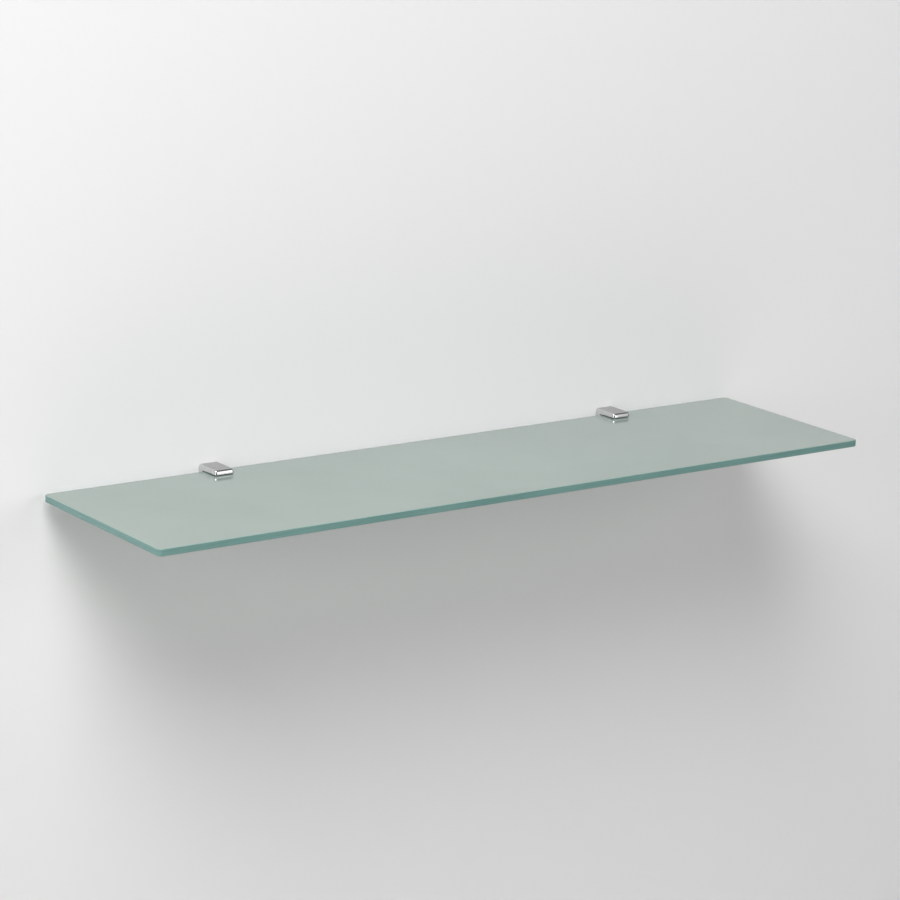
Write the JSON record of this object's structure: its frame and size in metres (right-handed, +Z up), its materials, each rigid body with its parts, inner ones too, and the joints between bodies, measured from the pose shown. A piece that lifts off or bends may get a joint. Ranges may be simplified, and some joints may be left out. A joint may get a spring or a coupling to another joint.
{
  "type": "wall shelf with brackets",
  "caption": "Frosted glass wall shelf gripped along its back edge by small screw-clamp brackets that fasten to a wall.",
  "frame": {"origin": "on the wall's face, at the middle of the glass's length and at the height of the wall screws, which is the glass's mid-plane", "axes": "+X along the wall to the viewer's right, +Y into the wall (the shelf stands out towards -Y), +Z up"},
  "size_m": [0.6, 0.1906, 0.0178],
  "materials": {
    "frosted_glass": "glossy top, frosted underside, ground green edges",
    "satin_chrome": "satin top, polished rim",
    "clear_vinyl": "soft satin",
    "white_nylon": "moulded satin",
    "dark_steel": "black oxide",
    "zinc_steel": "bright zinc plate",
    "grey_nylon": "moulded matte"
  },
  "bodies": {
    "brackets": {"left_bracket": "satin_chrome", "right_bracket": "satin_chrome", "left_upper_pad": "clear_vinyl", "right_upper_pad": "clear_vinyl", "left_wall_screw": "zinc_steel", "right_wall_screw": "zinc_steel", "left_wall_plug": "grey_nylon", "right_wall_plug": "grey_nylon"},
    "glass": {"glass_shelf": "frosted_glass"},
    "left_pressure_pad": {"left_pressure_pad": "white_nylon"},
    "left_clamp_screw": {"left_clamp_screw": "dark_steel"},
    "right_pressure_pad": {"right_pressure_pad": "white_nylon"},
    "right_clamp_screw": {"right_clamp_screw": "dark_steel"}
  },
  "joints": [
    {"name": "glass_slide_out", "type": "slide", "parent": "brackets", "child": "glass", "axis": [0, -1, 0], "range_m": [0, 0.04]},
    {"name": "left_pad_travel", "type": "slide", "parent": "brackets", "child": "left_pressure_pad", "axis": [0, 0, -1], "range_m": [0, 0.002]},
    {"name": "left_screw_turn", "type": "hinge", "parent": "left_pressure_pad", "child": "left_clamp_screw", "pos_m": [-0.1672, -0.0135, -0.0043], "axis": [0, 0, -1], "range_deg": [0, 900]},
    {"name": "right_pad_travel", "type": "slide", "parent": "brackets", "child": "right_pressure_pad", "axis": [0, 0, -1], "range_m": [0, 0.002]},
    {"name": "right_screw_turn", "type": "hinge", "parent": "right_pressure_pad", "child": "right_clamp_screw", "pos_m": [0.1838, -0.0135, -0.0043], "axis": [0, 0, -1], "range_deg": [0, 900]}
  ],
  "couplings": [
    {"joint": "left_screw_turn", "follows": "left_pad_travel", "rad_per_m": 7854},
    {"joint": "right_screw_turn", "follows": "right_pad_travel", "rad_per_m": 7854}
  ]
}
